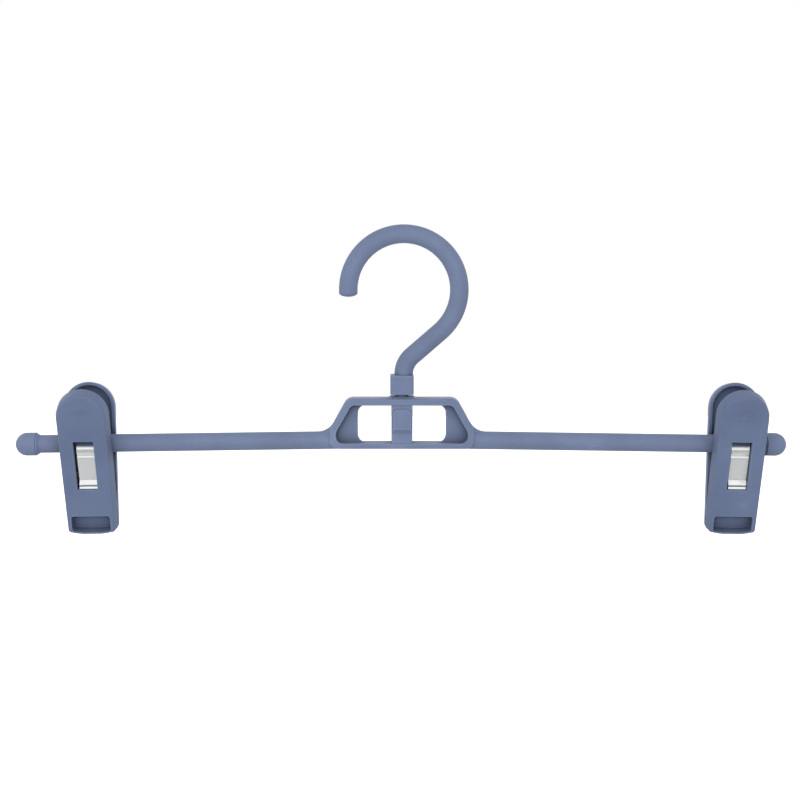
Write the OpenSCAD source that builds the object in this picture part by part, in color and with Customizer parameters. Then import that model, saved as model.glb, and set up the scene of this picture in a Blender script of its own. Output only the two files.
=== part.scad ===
// Skirt hanger: a swivelling hook over a moulded frame with two bars, and on each bar
// a sprung clip of two rocking jaws that slides along it.
// The origin is the rail seat, the underside of the hook's crown, on the swivel axis.
// +X is to the right along the bars, -Y is towards the viewer, +Z is up.

/* [Overall] */
// Length from the tip of one end cap to the tip of the other
overall_l = 360; // [320:1:420]
// Drop from the rail seat to the middle of the bars where they leave the frame
drop = 91.4; // [88:0.2:110]
// Slope of the bars down towards their ends, in degrees
bar_slope = 0.8; // [0:0.1:1.2]

/* [Hook] */
// Diameter of the hook's rod
rod_d = 8.6; // [7:0.2:9.4]
// Radius of the inside of the hook, which the rail sits in
hook_r = 21.3; // [18:0.1:24]
// Angle below the horizontal at which the hook's arc ends in the slanted neck
hook_end = 49; // [44:1:55]
// Distance to the right from the swivel axis to the middle of the hook's arc
hook_shift = 0.8; // [0:0.1:1]
// Straight length of the rod below the arc at the open tip
tip_l = 3.3; // [1.5:0.1:8]
// Rounding of the tip's edge
tip_round = 1.4; // [0.3:0.1:1.6]
// Radius of the bend from the slanted neck to the upright, at the rod's middle
neck_r = 11; // [8:0.5:13]

/* [Collar and swivel] */
// Width of the square collar under the hook, left to right
collar_w = 10.8; // [9.6:0.1:13]
// Depth of the collar, front to back
collar_d = 9.6; // [9.5:0.1:12]
// Height of the collar
collar_h = 9; // [5:0.2:9.4]
// Chamfer round the collar's lower end
collar_chamfer = 0.4; // [0.2:0.1:1.5]
// Gap between the collar and the saddle under it
collar_gap = 1; // [0.5:0.1:2]
// Height of the saddle on the frame under the collar
saddle_h = 0.7; // [0.5:0.1:2]
// Run of the saddle's sloping sides
saddle_run = 1; // [1:0.1:4]
// Diameter of the round thrust face under the collar
thrust_d = 6.4; // [6:0.1:7.6]
// Gap between the thrust face and the saddle
thrust_gap = 0.15; // [0.1:0.05:0.3]
// Diameter of the shank that turns in the frame
shank_d = 4.4; // [3.6:0.1:4.8]
// Running clearance round the shank, on the radius
shank_play = 0.05; // [0.02:0.01:0.1]
// Diameter of the snap head at the shank's lower end
head_d = 5.6; // [5.2:0.1:6]
// Height of the snap head
head_h = 4.2; // [3:0.1:5]
// Distance from the panel's upper edge down to the snap head's shoulder
head_in = 1.6; // [1:0.1:2.4]
// Width of the slit that lets the snap head spring in
slit_w = 0.9; // [0.5:0.1:1.2]
// Length of the slit above the snap head
slit_over = 1.5; // [0.5:0.1:3]
// Room round the snap head in its pocket
head_play = 0.3; // [0.1:0.05:0.4]

/* [Frame] */
// Height of the frame above the bars' middle
frame_top = 20; // [19:0.5:24]
// Depth of the frame's lower edge below the bars' middle
frame_low = 3.6; // [3.2:0.1:4]
// Greatest width of the frame, at the bars
frame_w = 67.8; // [62:0.2:80]
// Depth of the frame, front to back
frame_d = 9.2; // [8.2:0.1:9.4]
// Slope of the frame's sides from the horizontal, in degrees
side_angle = 60.5; // [55:0.5:75]
// Height above the bars' middle at which the sides start to slope
side_start = 4.9; // [4.5:0.1:7]
// Width of the raised rim at the top and sides
rim_w = 3.2; // [2.6:0.1:4]
// Width of the raised rim along the bottom
rim_low_w = 2.6; // [2:0.1:3]
// Thickness of the recessed web inside the rim
web_t = 2; // [1.2:0.1:3]
// Rounding of the rim's outer edges
rim_round = 0.8; // [0.2:0.1:1]
// Radius of the frame's upper corners
top_corner_r = 4.8; // [3.6:0.2:8]
// Radius of the frame's lower corners
low_corner_r = 4.2; // [3.6:0.2:6]
// Radius of the hollow curve between the bar and the frame's side
fillet_r = 8.4; // [4:0.2:12]
// Width of each window, from the post outwards
window_w = 15.6; // [10:0.2:17]
// Radius of the windows' outer corners
window_r = 4; // [1:0.2:6]

/* [Post] */
// Width of the post that houses the shank
post_w = 9.8; // [8.8:0.1:13]
// Width of the raised panel on the front of the post
panel_w = 8.6; // [7.6:0.1:8.8]
// Height of the panel
panel_h = 9.8; // [8:0.2:10.6]
// Height of the panel's lower edge above the bars' middle
panel_low = 5.2; // [4.2:0.1:6]
// Radius of the panel's upper corners
panel_r = 2.6; // [0.5:0.1:3.6]
// Distance that the post's front lies behind the panel
panel_step = 0.4; // [0.2:0.1:0.7]
// Depth of the notch under the panel
notch_d = 1.2; // [0.8:0.1:2]
// Height of the slope from the panel down to the notch's deepest line
notch_h = 1.5; // [1:0.1:2.4]
// Distance that the notch's lower lip lies behind the frame's front
notch_lip = 0.3; // [0.1:0.1:0.7]

/* [Bars and caps] */
// Diameter of the bars
bar_d = 8.4; // [7.6:0.1:8.6]
// Diameter of the end caps
cap_d = 10.8; // [10.2:0.1:13]
// Length of an end cap
cap_l = 9.8; // [8:0.1:16]
// Length of the tapered shoulder that the cap butts against
shoulder_l = 1.5; // [0.8:0.1:3]
// Diameter of the spigot inside the cap
spigot_d = 6.2; // [5:0.1:7]
// Length of the spigot
spigot_l = 5.4; // [4:0.2:6]
// Clearance between the spigot and the cap, on the radius
cap_play = 0.05; // [0.02:0.01:0.1]
// Depth of the groove round the spigot that the cap's bead snaps into
groove_d = 0.4; // [0.2:0.05:0.5]
// Width of that groove at the spigot's surface
groove_w = 1; // [0.6:0.1:1.6]
// Edge broken round the cap's open end
cap_edge = 0.3; // [0.1:0.05:0.5]

/* [Clips] */
// Gap between the left clip and the shoulder of its end cap
left_clip_gap = 10.5; // [0.3:0.1:40]
// Gap between the right clip and the shoulder of its end cap
right_clip_gap = 0.3; // [0.3:0.1:20]
// Angle that both clips lean over the bar, their tops towards the viewer, in degrees
clip_lean = 6; // [0:0.5:8]
// Width of the jaws at the bar, over their rims
jaw_w = 23.8; // [23.6:0.2:25]
// Width of the jaws at the toothed tips, over their rims
tip_w = 23.4; // [22:0.2:23.6]
// Width that a jaw's side wall leans out by, from the outer face to the rim
jaw_draft = 0.7; // [0.2:0.1:1]
// Length of the jaws above the bar's middle
jaw_up = 28.4; // [22:0.2:32]
// Length of the jaws below the bar's middle
jaw_down = 42.8; // [41:0.2:50]
// Angle between each jaw and the clip's middle plane, in degrees
jaw_angle = 7.5; // [6.5:0.25:8]
// Distance from the bar's middle to the outer face of a jaw
jaw_off = 10.6; // [10.2:0.1:10.8]
// Depth of a jaw's side walls, from the outer face to the rim
jaw_depth = 6.6; // [6.4:0.1:7]
// Thickness of the jaws' walls
wall = 1.45; // [1:0.05:1.8]
// Rounding of the jaws' outer edges
jaw_round = 0.8; // [0.3:0.1:1]
// Radius of the jaws' lower corners
tip_corner_r = 2.2; // [1.6:0.1:3]
// Height of the bow in the jaws' lower end
tip_bow = 1.2; // [0.6:0.1:2]
// Rounding of the jaws' upper end
thumb_round = 2.2; // [1:0.1:3]
// Depth of the dished thumb rest
dish_d = 0.7; // [0.2:0.05:0.8]
// Height of the thumb rest's middle above the bar's middle
dish_z = 17; // [12:0.2:20]
// Clearance round the bar in the jaws' saddles, on the radius
jaw_play = 0.1; // [0.05:0.01:0.2]
// Gap between the two jaws' teeth at rest
tooth_gap = 0.3; // [0.1:0.05:0.5]
// Pitch of the gripping teeth
tooth_pitch = 1.5; // [1.2:0.1:1.6]
// Depth of the grooves between the teeth
tooth_h = 0.7; // [0.3:0.1:0.9]
// Number of grooves between the teeth
tooth_n = 6; // [4:1:7]
// Flat left between one groove and the next
tooth_land = 0.4; // [0.2:0.05:0.6]
// Thickness of the plate that carries the teeth
tooth_plate = 1.3; // [1:0.1:1.6]
// Width of the spring's window in each jaw
jaw_window_w = 9.4; // [9.2:0.1:12]
// Height of that window's upper edge above the bar's middle
jaw_window_top = 4.9; // [1:0.1:5]
// Depth of the window's lower edge below the bar's middle
jaw_window_low = 19.1; // [19:0.1:21]
// Width of the pocket over the teeth
pocket_w = 18; // [14:0.2:18.2]
// Height of the pocket
pocket_h = 8.4; // [5:0.1:8.4]
// Width of the rim under the pocket
pocket_rim = 1.6; // [1.2:0.1:2.4]
// Slant of the pocket's lower wall, from its edge to its floor
pocket_draft = 1.2; // [0.2:0.1:1.8]
// Height of the solid heel between the pocket and the tray above it
heel_h = 4; // [2.4:0.1:5]

/* [Springs] */
// Width of the spring strip
strip_w = 8.8; // [7:0.1:8.8]
// Thickness of the spring strip
strip_t = 0.5; // [0.3:0.05:0.6]
// Gap between the strip and the bar under it
strip_play = 0.15; // [0.1:0.05:0.25]
// Depth below the bar's middle at which each arm bears on its jaw
arm_l = 16.8; // [16:0.1:17.4]
// Distance that the right clip's spring sits off its middle, away from the hook
right_spring_off = 1; // [0:0.1:1.2]
// Gap between an arm and the bridge that it bears on
arm_gap = 0.1; // [0.05:0.01:0.2]

/* [Hidden] */
$fn = 72;
far = 100;
hair = 0.02;
lap = 0.4;
facet = 0.3;
sharp_r = 0.3;
blue = [0.47, 0.52, 0.64];
dusk = [0.42, 0.47, 0.59];
steel = [0.78, 0.79, 0.79];

// Hook: measured from the arc's own middle line, which hook_shift moves off the swivel axis
rod_r = rod_d / 2;
arc_r = hook_r + rod_r;
neck_fall = 90 - hook_end;
neck_from = [arc_r * cos(hook_end), -hook_r - arc_r * sin(hook_end)];
neck_l = (neck_from.x - neck_r * (1 - cos(hook_end))) / cos(neck_fall);
neck_to = neck_from - neck_l * [cos(neck_fall), sin(neck_fall)];
bend_z = neck_to.y - neck_r * sin(hook_end);

// Heights along the swivel axis
bar_z = -drop;
frame_top_z = bar_z + frame_top;
saddle_top_z = frame_top_z + saddle_h;
collar_low_z = saddle_top_z + collar_gap;
collar_top_z = collar_low_z + collar_h;
panel_low_z = bar_z + panel_low;
panel_top_z = panel_low_z + panel_h;
head_top_z = panel_top_z - head_in;
head_low_z = head_top_z - head_h;

// Bars: each slopes down about the point where it leaves the frame
root_x = frame_w / 2;
bar_r = bar_d / 2;
cap_r = cap_d / 2;
bar_l = (overall_l / 2 - root_x) / cos(bar_slope);
cap_at = bar_l - cap_l;
shoulder_at = cap_at - shoulder_l;
left_clip_at = shoulder_at - left_clip_gap - jaw_w / 2;
right_clip_at = shoulder_at - right_clip_gap - jaw_w / 2;

// Frame: the recess inside the rim, and the curve that joins a bar to it
recess_low_z = bar_z - frame_low + rim_low_w;
recess_top_z = frame_top_z - rim_w;
recess_low_r = max(low_corner_r - 1, sharp_r);
recess_top_r = max(top_corner_r - 1.8, sharp_r);
side_r = 5;

// Springs: the strip's middle line runs round the bar at this radius
strip_r = bar_r + strip_play + strip_t / 2;

// Jaws: the tray ends above the heel, and a bridge across it takes the spring's arm
heel_z = pocket_rim + pocket_h + heel_h - jaw_down;
arm_y = -0.74 * strip_r;
bridge_h = 4.5;
bridge_z = -arm_l - bridge_h / 2;
bridge_y = arm_y * cos(jaw_angle) - arm_l * sin(jaw_angle) + strip_t / 2 + arm_gap;
pocket_z = pocket_rim - jaw_down;
pocket_y = -tooth_gap / 2 - tooth_h - tooth_plate + (pocket_z + pocket_h / 2) * sin(jaw_angle);
dish_r = 14;

// A corner of an outline rounded to radius r, as points on its arc
function unit(v) = v / norm(v);
function corner(a, b, c, r, n = 8) =
    let (u = unit(a - b), w = unit(c - b), half = acos(u * w) / 2)
    let (m = b + unit(u + w) * r / sin(half), p = b + u * r / tan(half))
    let (q = b + w * r / tan(half), from = atan2(p.y - m.y, p.x - m.x))
    let (turn = atan2(q.y - m.y, q.x - m.x) - from)
    let (short = turn > 180 ? turn - 360 : turn < -180 ? turn + 360 : turn)
    r == 0 ? [b] : [for (i = [0:n]) m + r * [cos(from + short * i / n), sin(from + short * i / n)]];

// A closed outline with each corner rounded: corners are [x, y, radius, steps]
function rounded(p) =
    let (n = len(p), xy = [for (q = p) [q[0], q[1]]])
    [for (i = [0:n - 1]) each
        corner(xy[(i + n - 1) % n], xy[i], xy[(i + 1) % n], p[i][2], len(p[i]) > 3 ? p[i][3] : 8)];

// An open path with its inner corners rounded
function bent(p) =
    let (n = len(p), xy = [for (q = p) [q[0], q[1]]])
    [xy[0], for (i = [1:n - 2]) each corner(xy[i - 1], xy[i], xy[i + 1], p[i][2], 6), xy[n - 1]];

// The outline of a strip of thickness t along a path
function along(p, i) = unit(p[min(i + 1, len(p) - 1)] - p[max(i - 1, 0)]);
function side(p, i, d) = p[i] + d * [-along(p, i).y, along(p, i).x];
function strip(p, t) = concat(
    [for (i = [0:len(p) - 1]) side(p, i, t / 2)],
    [for (i = [len(p) - 1:-1:0]) side(p, i, -t / 2)]);

// Stands an outline drawn in X and Z up as a plate from y0 to y1
module plate(points, y0, y1) {
    translate([0, y1, 0])
        rotate([90, 0, 0])
            linear_extrude(y1 - y0) polygon(points);
}

// Carries an outline drawn in Y and Z across a width along X
module across(points, width) {
    translate([-width / 2, 0, 0])
        rotate([90, 0, 90])
            linear_extrude(width) polygon(points);
}

// Places what is drawn along X on a bar, at a distance from the frame
module on_bar(hand, at) {
    translate([hand * root_x, 0, bar_z])
        rotate([0, hand * bar_slope, 0])
            translate([hand * at, 0, 0]) children();
}

// Places what is drawn for a clip on its bar, leaning over it
module on_clip(hand, at) {
    on_bar(hand, at) rotate([clip_lean, 0, 0]) children();
}

// A stretch of round rod bent in the plane of X and Z, from one angle to another
module rod_arc(centre, r, from, to) {
    translate([centre.x, 0, centre.y])
        rotate([90, 0, 0])
            rotate([0, 0, from])
                rotate_extrude(angle = to - from) translate([r, 0]) circle(rod_r);
}

// A straight stretch of rod that reaches a little way into the bends at its ends,
// and is slimmer than them by a hair so that no two round faces coincide
module rod_straight(from, fall, length) {
    translate([from.x, 0, from.y])
        rotate([0, fall, 0])
            translate([0, 0, -lap]) cylinder(length + 2 * lap, rod_r - hair, rod_r - hair);
}

// The rounded end of the rod
module rod_tip() {
    r = rod_r - hair;
    rotate_extrude()
        polygon(concat([[0, 0]], corner([0, 0], [r, 0], [r, tip_l], tip_round, 5),
                       [[r, tip_l + lap], [0, tip_l + lap]]));
}

// The collar: square, with its lower end chamfered
module collar() {
    front = [[-collar_w / 2, collar_top_z], [collar_w / 2, collar_top_z],
             [collar_w / 2, collar_low_z + collar_chamfer],
             [collar_w / 2 - collar_chamfer, collar_low_z],
             [collar_chamfer - collar_w / 2, collar_low_z],
             [-collar_w / 2, collar_low_z + collar_chamfer]];
    plate(front, -collar_d / 2, collar_d / 2);
}

// The thrust face, the shank and its snap head, which is split so that it can spring
// through the bore
module shank() {
    thrust_r = thrust_d / 2;
    thrust_z = saddle_top_z + thrust_gap;
    shank_r = shank_d / 2;
    head_r = head_d / 2;
    difference() {
        rotate_extrude()
            polygon([[0, collar_low_z + lap], [thrust_r, collar_low_z + lap], [thrust_r, thrust_z],
                     [shank_r, thrust_z], [shank_r, head_top_z],
                     [head_r, head_top_z], [head_r, head_top_z - head_h / 3],
                     [shank_r - lap, head_low_z], [0, head_low_z]]);
        translate([-slit_w / 2, -far / 2, head_low_z - lap])
            cube([slit_w, far, lap + head_h + slit_over]);
    }
}

module hook() {
    color(blue) {
        translate([hook_shift, 0, 0]) {
            translate([-arc_r, 0, -hook_r - tip_l]) rod_tip();
            rod_arc([0, -hook_r], arc_r, -hook_end, 180);
            rod_straight(neck_to, hook_end, neck_l);
            rod_arc([neck_r, bend_z], neck_r, 180 - hook_end, 180);
            rod_straight([0, collar_top_z], 0, bend_z - collar_top_z);
        }
        collar();
        shank();
    }
}

// The frame's outline: drawn in by inset at the top and sides and by low at the bottom
function frame_outline(inset, low, low_r, top_r) =
    let (x = root_x - inset, z0 = bar_z - frame_low + low, top = frame_top_z - inset)
    let (z = bar_z + side_start + inset * (sin(side_angle) - 1) / cos(side_angle))
    let (run = (top - z) / tan(side_angle))
    rounded([[x, z0, low_r], [x, z, side_r], [x - run, top, top_r],
             [run - x, top, top_r], [-x, z, side_r], [-x, z0, low_r]]);

// The frame's block, its outer edges rounded in two facets
module frame_block() {
    function drawn_in(i) = frame_outline(i, i, low_corner_r - i, top_corner_r - i);
    near = facet * rim_round;
    hull() {
        plate(drawn_in(0), rim_round - frame_d / 2, frame_d / 2 - rim_round);
        plate(drawn_in(near), near - frame_d / 2, frame_d / 2 - near);
        plate(drawn_in(rim_round), -frame_d / 2, frame_d / 2);
    }
}

// The bar's flare: the same round section bent up into the frame's side, so that its
// upper edge is the hollow curve between them
module flare() {
    bend_r = fillet_r + bar_r;
    turn = side_angle + bar_slope;
    foot = (side_start - bar_r) / tan(side_angle) + fillet_r * tan(turn / 2);
    translate([foot, 0, bend_r])
        rotate([90, 0, 0])
            rotate([0, 0, 270 - turn])
                rotate_extrude(angle = turn) translate([bend_r, 0]) circle(bar_r - hair);
}

// Both sides of the recess, with a window each side of the post through the web
module recess() {
    shape = frame_outline(rim_w, rim_low_w, recess_low_r, recess_top_r);
    for (s = [-1, 1])
        translate([0, s * (web_t + far) / 2, 0]) plate(shape, -far / 2, far / 2);
    inner = post_w / 2;
    outer = inner + window_w;
    window = rounded([[inner, recess_low_z, sharp_r], [outer, recess_low_z, window_r],
                      [outer, recess_top_z, window_r], [inner, recess_top_z, sharp_r]]);
    for (s = [0, 1])
        mirror([s, 0, 0]) plate(window, -far / 2, far / 2);
}

// The post between the windows, with its raised panel and the notch under it
module post() {
    front = -frame_d / 2;
    across([[-front, recess_low_z - hair], [-front, recess_top_z + hair],
            [front + panel_step, recess_top_z + hair], [front + panel_step, panel_low_z],
            [front + notch_d, panel_low_z - notch_h], [front + notch_lip, recess_low_z - hair]],
           post_w);
    panel = rounded([[-panel_w / 2, panel_low_z, sharp_r], [panel_w / 2, panel_low_z, sharp_r],
                     [panel_w / 2, panel_top_z, panel_r], [-panel_w / 2, panel_top_z, panel_r]]);
    plate(panel, front, front + panel_step + hair);
}

// The bore that the shank turns in and the head's pocket, which is open at the back
module swivel_bore() {
    pocket_low = head_low_z - head_play;
    pocket_r = head_d / 2 + head_play;
    translate([0, 0, head_top_z]) cylinder(far, shank_d / 2 + shank_play, shank_d / 2 + shank_play);
    translate([0, 0, pocket_low]) cylinder(head_top_z + shank_play - pocket_low, pocket_r, pocket_r);
    translate([-pocket_r, 0, pocket_low]) cube([2 * pocket_r, far, head_top_z + shank_play - pocket_low]);
}

// The saddle that the collar turns over
module saddle() {
    low_w = collar_w / 2 + saddle_run;
    plate([[-low_w, frame_top_z - lap], [low_w, frame_top_z - lap], [low_w, frame_top_z],
           [collar_w / 2, saddle_top_z], [-collar_w / 2, saddle_top_z], [-low_w, frame_top_z]],
          rim_round + hair - frame_d / 2, frame_d / 2 - rim_round - hair);
}

// A bar with its tapered shoulder and the grooved spigot for the cap
module bar() {
    spigot_r = spigot_d / 2;
    end_at = cap_at + spigot_l;
    groove_at = cap_at + spigot_l / 2;
    rotate([0, 90, 0])
        rotate_extrude()
            polygon([[0, -rim_w], [bar_r, -rim_w], [bar_r, shoulder_at], [cap_r - cap_edge, cap_at],
                     [spigot_r, cap_at], [spigot_r, groove_at - groove_w / 2],
                     [spigot_r - groove_d, groove_at], [spigot_r, groove_at + groove_w / 2],
                     [spigot_r, end_at - lap], [spigot_r - lap, end_at], [0, end_at]]);
}

module hanger_frame() {
    color(blue)
        difference() {
            union() {
                difference() {
                    union() {
                        frame_block();
                        for (s = [0, 1])
                            mirror([s, 0, 0])
                                on_bar(1, 0) {
                                    bar();
                                    flare();
                                }
                    }
                    recess();
                }
                post();
                saddle();
            }
            swivel_bore();
        }
}

// A cap: domed outside, and inside a bore with a bead for the spigot's groove
module cap() {
    dome = [for (a = [0:6:90]) [cap_r * cos(a), cap_l - cap_r + cap_r * sin(a)]];
    bore_r = spigot_d / 2 + cap_play;
    bore_l = spigot_l + 2 * cap_play;
    bead_at = spigot_l / 2;
    rotate([0, 90, 0])
        rotate_extrude()
            polygon(concat([[bore_r, 0], [cap_r - cap_edge, 0], [cap_r, cap_edge]], dome,
                           [[0, bore_l], [bore_r, bore_l],
                            [bore_r, bead_at + groove_w / 2], [bore_r - groove_d, bead_at],
                            [bore_r, bead_at - groove_w / 2]]));
}

module left_end_cap() { color(blue) on_bar(-1, cap_at) mirror([1, 0, 0]) cap(); }
module right_end_cap() { color(blue) on_bar(1, cap_at) cap(); }

// A jaw's outline, drawn in by inset, with its upper end lowered by a further amount.
// The lower end is bowed, the sides bend at the bar, and the upper end is half round.
function jaw_outline(inset, down) =
    let (w = jaw_w / 2 - inset, tip = tip_w / 2 - inset, r = max(tip_corner_r - inset, hair))
    let (low = inset - jaw_down, top = jaw_up - inset - down, round_r = w - hair)
    rounded([[-tip, low + tip_bow, r], [-tip / 2, low, tip_w], [tip / 2, low, tip_w],
             [tip, low + tip_bow, r], [w, 0, tip_w], [w, top, round_r, 20],
             [-w, top, round_r, 20], [-w, 0, tip_w]]);

// A jaw's block standing square, its outer face at y = -jaw_off: the edges of that face
// are rounded in two facets, and the side walls lean out to the rim
module jaw_block() {
    over = thumb_round - jaw_round;
    near = facet * jaw_round;
    rim = jaw_depth - jaw_off;
    hull() {
        plate(jaw_outline(0, 0), rim - hair, rim);
        plate(jaw_outline(jaw_draft, 0), jaw_round - jaw_off, rim);
        plate(jaw_outline(jaw_draft + near, facet * over), near - jaw_off, rim);
        plate(jaw_outline(jaw_draft + jaw_round, over), -jaw_off, rim);
    }
}

// What is hollowed out of a jaw: the tray round its bridge, the spring's window and the
// thumb rest
module jaw_hollow() {
    difference() {
        hull() {
            plate(jaw_outline(wall, 0), jaw_depth - jaw_off, far);
            plate(jaw_outline(wall + jaw_draft, 0), wall - jaw_off, far);
        }
        translate([-far / 2, -far / 2, heel_z - far]) cube([far, far, far]);
        translate([-far / 2, bridge_y, bridge_z]) cube([far, wall, bridge_h]);
    }
    translate([-jaw_window_w / 2, -far, -jaw_window_low])
        cube([jaw_window_w, far - jaw_off + wall + hair, jaw_window_low + jaw_window_top]);
    translate([0, dish_d - jaw_off - dish_r, dish_z]) sphere(dish_r);
}

// The pocket's outline, its lower side bowed like the jaw's end
function pocket_outline(inset, up) =
    let (w = pocket_w / 2 - inset, low = pocket_z + up, top = pocket_z + pocket_h - inset)
    rounded([[-w, low + tip_bow / 2, tip_bow], [-w / 2, low, pocket_w], [w / 2, low, pocket_w],
             [w, low + tip_bow / 2, tip_bow], [w, top, tip_bow], [-w, top, tip_bow]]);

// The pocket over the teeth: its lower wall slants from the outer face to the floor
module jaw_pocket() {
    hull() {
        plate(pocket_outline(sharp_r, pocket_draft), -jaw_off - wall, pocket_y);
        plate(pocket_outline(0, 0), -jaw_off - wall, -jaw_off);
    }
}

// What is cut away behind the middle plane, with the grooves between the teeth
module tooth_side() {
    y = -tooth_gap / 2;
    half_w = (tooth_pitch - tooth_land) / 2;
    first_z = pocket_z + tooth_pitch / 2;
    teeth = [for (i = [0:tooth_n - 1]) each
        let (z = first_z + i * tooth_pitch)
        [[y, z - half_w], [y - tooth_h, z], [y, z + half_w]]];
    across(concat([[far, -far], [y, -far]], teeth, [[y, far], [far, far]]), far);
}

// One jaw, as the front one of a clip whose bar lies on the X axis
module jaw() {
    difference() {
        rotate([jaw_angle, 0, 0])
            difference() {
                jaw_block();
                jaw_hollow();
                jaw_pocket();
            }
        tooth_side();
        rotate([0, 90, 0]) cylinder(far, bar_r + jaw_play, bar_r + jaw_play, center = true);
    }
}

module left_front_jaw() { color(dusk) on_clip(-1, left_clip_at) jaw(); }
module left_back_jaw() { color(dusk) on_clip(-1, left_clip_at) rotate([0, 0, 180]) jaw(); }
module right_front_jaw() { color(dusk) on_clip(1, right_clip_at) jaw(); }
module right_back_jaw() { color(dusk) on_clip(1, right_clip_at) rotate([0, 0, 180]) jaw(); }

// The spring: over the bar, a ridge each side, then an arm down inside each jaw to its
// bridge and a curl below it. The ridge's points stand off from the radius at the bar.
ridge = [[-0.1, -0.5, 0.5], [-1, -1.1, 0.8], [-1.1, -2.9, 2], [-0.5, -4.5, 0.6], [-0.7, -5.6, 1]];
curl = [[0, -1.8, 0.5], [0.1, -2.9, 0.5], [-0.7, -4.9, 0]];
module spring() {
    over = [for (a = [90:6:180]) strip_r * [cos(a), sin(a)]];
    arm = bent(concat([[-strip_r, 0]],
                      [for (p = ridge) [p[0] - strip_r, p[1], p[2]]],
                      [[arm_y, -arm_l, 0.6]],
                      [for (p = curl) [p[0] - strip_r, p[1] - arm_l, p[2]]]));
    half = concat(over, [for (i = [1:len(arm) - 1]) arm[i]]);
    rest = [for (i = [len(half) - 1:-1:1]) [-half[i].x, half[i].y]];
    across(strip(concat(rest, half), strip_t), strip_w);
}

module left_spring() { color(steel) on_clip(-1, left_clip_at) spring(); }
module right_spring() {
    color(steel) on_clip(1, right_clip_at) translate([right_spring_off, 0, 0]) spring();
}

hook();
hanger_frame();
left_end_cap();
right_end_cap();
left_front_jaw();
left_back_jaw();
left_spring();
right_front_jaw();
right_back_jaw();
right_spring();
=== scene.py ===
"""A skirt hanger: a hook that swivels on a moulded frame with two bars, and on each bar a
sprung clip of two rocking jaws. Sizes are in millimetres and become metres in the meshes."""

import math

import bmesh
import bpy
import numpy as np
from mathutils import Matrix, Vector


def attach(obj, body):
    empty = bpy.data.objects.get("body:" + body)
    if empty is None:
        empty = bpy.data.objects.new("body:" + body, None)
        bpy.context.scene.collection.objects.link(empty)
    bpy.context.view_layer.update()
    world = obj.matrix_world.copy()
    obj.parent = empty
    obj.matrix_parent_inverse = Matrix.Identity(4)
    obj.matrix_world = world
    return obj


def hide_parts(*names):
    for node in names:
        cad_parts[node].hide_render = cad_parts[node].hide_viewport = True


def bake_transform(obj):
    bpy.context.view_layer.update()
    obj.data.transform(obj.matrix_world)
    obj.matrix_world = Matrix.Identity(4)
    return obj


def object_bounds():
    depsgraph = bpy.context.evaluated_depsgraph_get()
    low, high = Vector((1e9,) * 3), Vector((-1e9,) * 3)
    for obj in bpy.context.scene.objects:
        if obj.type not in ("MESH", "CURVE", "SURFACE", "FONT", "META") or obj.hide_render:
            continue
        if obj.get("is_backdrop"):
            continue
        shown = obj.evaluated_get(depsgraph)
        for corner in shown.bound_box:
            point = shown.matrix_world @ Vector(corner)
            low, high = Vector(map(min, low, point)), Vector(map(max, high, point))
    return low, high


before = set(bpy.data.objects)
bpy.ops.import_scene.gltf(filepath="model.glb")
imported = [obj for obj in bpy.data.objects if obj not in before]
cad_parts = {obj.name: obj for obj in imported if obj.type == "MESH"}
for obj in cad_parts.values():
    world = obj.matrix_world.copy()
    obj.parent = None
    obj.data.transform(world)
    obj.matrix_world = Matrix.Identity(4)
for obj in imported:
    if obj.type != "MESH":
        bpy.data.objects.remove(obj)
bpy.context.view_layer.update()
MM = 0.001

# Camera: at arm's length, level with the top of the hook and tipped down at the hanger
camera_at = (-5.6, -600, 2)
camera_yaw, camera_tilt, camera_roll = -0.45, 7.08, 0.09
camera_data = bpy.data.cameras.new("camera")
camera_data.sensor_width = 36
camera_data.lens = 58.41
camera = bpy.data.objects.new("camera", camera_data)
bpy.context.scene.collection.objects.link(camera)
camera.location = Vector(camera_at) * MM
aim = (Matrix.Rotation(math.radians(camera_yaw), 4, "Z")
       @ Matrix.Rotation(math.radians(90 - camera_tilt), 4, "X")
       @ Matrix.Rotation(math.radians(camera_roll), 4, "Z"))
camera.rotation_euler = aim.to_euler()
bpy.context.scene.camera = camera
bpy.context.scene.view_settings.view_transform = "Standard"

# Room: white all round for the camera and for what the metal mirrors, and a plain soft
# level of light for the rest
room = bpy.data.worlds.new("room")
bpy.context.scene.world = room
room.use_nodes = True
net = room.node_tree
net.nodes.clear()
rays = net.nodes.new("ShaderNodeLightPath")
seen = net.nodes.new("ShaderNodeBackground")
seen.inputs["Color"].default_value = (1, 1, 1, 1)
soft = net.nodes.new("ShaderNodeBackground")
soft.inputs["Color"].default_value = (0.96, 0.98, 1, 1)
soft.inputs["Strength"].default_value = 0.57
either = net.nodes.new("ShaderNodeMath")
either.operation = "MAXIMUM"
any_ray = net.nodes.new("ShaderNodeMath")
any_ray.operation = "MAXIMUM"
pick = net.nodes.new("ShaderNodeMixShader")
out = net.nodes.new("ShaderNodeOutputWorld")
net.links.new(rays.outputs["Is Camera Ray"], either.inputs[0])
net.links.new(rays.outputs["Is Glossy Ray"], either.inputs[1])
net.links.new(either.outputs[0], any_ray.inputs[0])
net.links.new(rays.outputs["Is Transmission Ray"], any_ray.inputs[1])
net.links.new(any_ray.outputs[0], pick.inputs[0])
net.links.new(soft.outputs[0], pick.inputs[1])
net.links.new(seen.outputs[0], pick.inputs[2])
net.links.new(pick.outputs[0], out.inputs["Surface"])

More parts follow.
